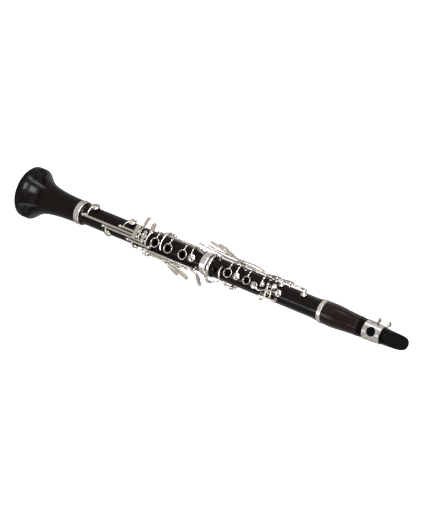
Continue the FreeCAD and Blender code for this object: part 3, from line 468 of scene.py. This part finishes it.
def build_stage():
    """A pale paper floor with a faint shadow; in reflections it shows painted shade, grey in front and pale
    behind.
    """
    grid = bmesh.new()
    bmesh.ops.create_grid(grid, x_segments=12, y_segments=12, size=6)
    mesh = bpy.data.meshes.new("floor")
    grid.to_mesh(mesh)
    grid.free()
    floor = bpy.data.objects.new("floor", mesh)
    scene.collection.objects.link(floor)
    s = Shader("floor_paper")
    seen = s.add("LightPath").outputs["Is Camera Ray"]
    paper = s.ramp(s.noise((400, 400, 400), 2), [(0.2, (0.955, 0.955, 0.955)), (0.8, (0.985, 0.985, 0.985))])
    from_middle = s.add("VectorMath", {0: s.place}, operation="LENGTH").outputs["Value"]
    # Painted shade for every ray but the camera's: grey near the middle, dark further out and pale behind, so
    # the instrument reflects a darker floor than the camera sees.
    painted_reflected_floor = s.ramp(s.between(from_middle, 0, 1, 0, 3), [
        (0.0, (0.34, 0.328, 0.31)), (0.4, (0.34, 0.328, 0.31)),
        (0.52, (0.07, 0.062, 0.056)), (1.0, (0.08, 0.075, 0.07))])
    depth = s.add("SeparateXYZ", {"Vector": s.place}).outputs["Y"]
    painted_reflected_floor = s.mix(s.between(depth, 0.0, 1.0, 0.02, 0.3), painted_reflected_floor, (0.8, 0.78, 0.76, 1))
    s.finish(Base_Color=s.mix(seen, painted_reflected_floor, paper), Roughness=1.0, Specular_IOR_Level=0.0,
             Emission_Color=paper, Emission_Strength=s.math("MULTIPLY", seen, 0.72))
    mesh.materials.append(s.material)


def build_light():
    """A banded room, an overhead, two side strips and a front box, all soft, and a strip on the floor."""
    world = bpy.data.worlds.new("studio")
    world.use_nodes = True
    scene.world = world
    tree = world.node_tree
    room = tree.nodes["Background"]
    direction = tree.nodes.new("ShaderNodeTexCoord")
    split = tree.nodes.new("ShaderNodeSeparateXYZ")
    bands = tree.nodes.new("ShaderNodeValToRGB")
    tree.links.new(direction.outputs["Generated"], split.inputs[0])
    tree.links.new(split.outputs["Z"], bands.inputs["Fac"])
    tree.links.new(bands.outputs["Color"], room.inputs["Color"])
    stops = ((0.0, 0.05), (0.14, 0.06), (0.2, 0.9), (0.42, 0.95),
             (0.48, 0.12), (0.6, 0.1), (0.66, 0.8), (1.0, 0.7))
    while len(bands.color_ramp.elements) < len(stops):
        bands.color_ramp.elements.new(0.5)
    for element, (height, tone) in zip(bands.color_ramp.elements, stops):
        element.position, element.color = height, (tone, tone, tone, 1)
    room.inputs["Strength"].default_value = 0.8
    middle = (0, 0, 0.34)
    emitter("overhead", (0.3, -0.2, 2.4), middle, 1.1, 1.1, 26)
    emitter("left_strip", (-1.6, -0.9, 0.7), middle, 0.3, 1.5, 14)
    emitter("right_strip", (1.7, -0.7, 0.6), middle, 0.3, 1.5, 5)
    emitter("front_box", (-0.9, -2.4, 1.5), middle, 1.3, 1.1, 56)
    # The upright body mirrors the floor in front of it: a strip there draws the highlight along it.
    side, reach = math.radians(30), 0.86
    place = (reach * math.sin(side), -reach * math.cos(side), 0.03)
    strip = emitter("floor_strip", place, middle, 0.15, 0.8, 2.6)
    strip.rotation_mode = "XYZ"
    strip.rotation_euler = (math.pi, 0, side)


def build_camera():
    """The photo's view: from in front and above, with the camera rolled so that the bell is at the left."""
    azimuth, elevation, roll = -0.10472, 0.54768, 1.95958
    target, distance = Vector((-0.001128, 0, 0.343148)), 3.2391853
    back = Vector((math.sin(azimuth) * math.cos(elevation), -math.cos(azimuth) * math.cos(elevation),
                   math.sin(elevation)))
    right = (-back).cross(Vector((0, 0, 1))).normalized()
    up = right.cross(-back)
    turned = math.cos(roll) * right + math.sin(roll) * up
    upright = math.cos(roll) * up - math.sin(roll) * right
    camera = bpy.data.cameras.new("camera")
    camera.lens, camera.sensor_width, camera.sensor_fit = 154.8, 36, "AUTO"
    camera.clip_start, camera.clip_end = 0.05, 30
    eye = bpy.data.objects.new("camera", camera)
    scene.collection.objects.link(eye)
    axes = Matrix((turned, upright, back)).transposed().to_4x4()
    eye.matrix_world = Matrix.Translation(target + back * distance) @ axes
    scene.camera = eye
    scene.view_settings.view_transform = "Standard"


build_stage()
build_light()
build_camera()
